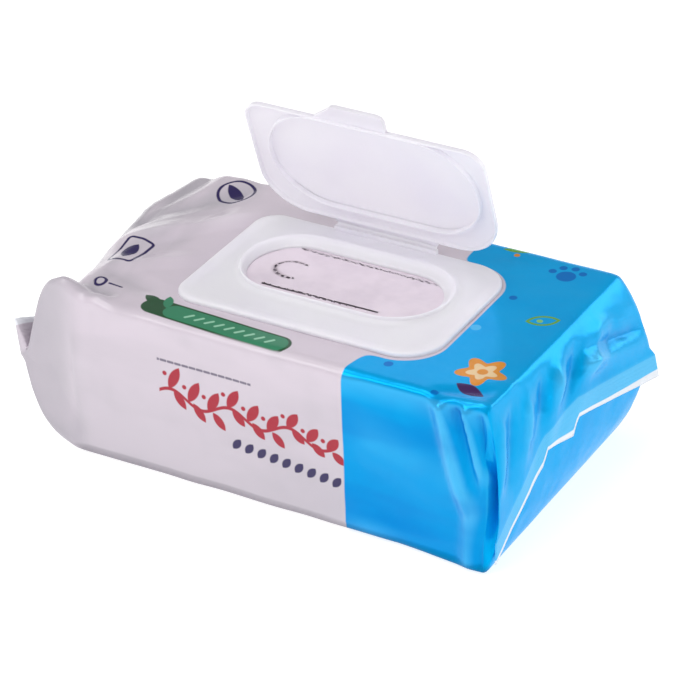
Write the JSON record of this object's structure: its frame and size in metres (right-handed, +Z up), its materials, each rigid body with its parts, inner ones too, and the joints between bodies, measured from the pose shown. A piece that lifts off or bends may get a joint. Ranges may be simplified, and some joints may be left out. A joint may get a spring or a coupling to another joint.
{
  "type": "wet wipes pack",
  "caption": "Gusseted film pack of wet wipes with sealed fins at both ends and a moulded flip lid on an oval-rimmed frame.",
  "frame": {"origin": "on the ground under the middle of the whole pack, fins included", "axes": "+X along the pack towards its blue end, +Y across it towards the lid's hinge, +Z up"},
  "size_m": [0.206, 0.106, 0.1295],
  "materials": {
    "printed_film": "glossy printed film, white with a blue end",
    "milky_plastic": "satin translucent white moulding"
  },
  "bodies": {
    "pack": {"film_pack": "printed_film", "lid_base": "milky_plastic"},
    "lid": {"flip_lid": "milky_plastic"}
  },
  "joints": [
    {"name": "lid_hinge", "type": "hinge", "parent": "pack", "child": "lid", "pos_m": [0.004, 0.0324, 0.0706], "axis": [-1, 0, 0], "range_deg": [-70.6, 85]}
  ]
}
